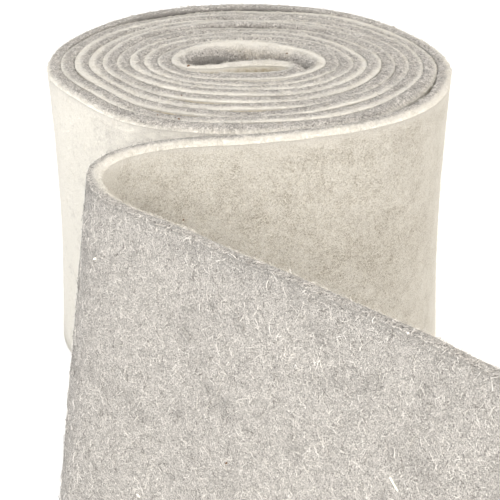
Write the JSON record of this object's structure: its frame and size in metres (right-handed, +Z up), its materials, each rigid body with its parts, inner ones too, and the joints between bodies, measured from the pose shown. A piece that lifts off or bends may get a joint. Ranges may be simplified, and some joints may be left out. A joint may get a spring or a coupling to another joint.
{
  "type": "roll of felt",
  "caption": "Roll of two-tone wool felt standing on end, with its loose end turned back in front.",
  "frame": {"origin": "middle of the strip's box in plan, on the surface it stands on", "axes": "+Z up along the axis of the roll; +Y towards the roll, away from the loose end; +X to the right as seen from the loose end"},
  "size_m": [0.2048, 0.4396, 0.1524],
  "materials": {
    "grey_ply": "matte",
    "cream_ply": "matte"
  },
  "bodies": {
    "root": {"felt_strip": "grey_ply"}
  },
  "joints": []
}
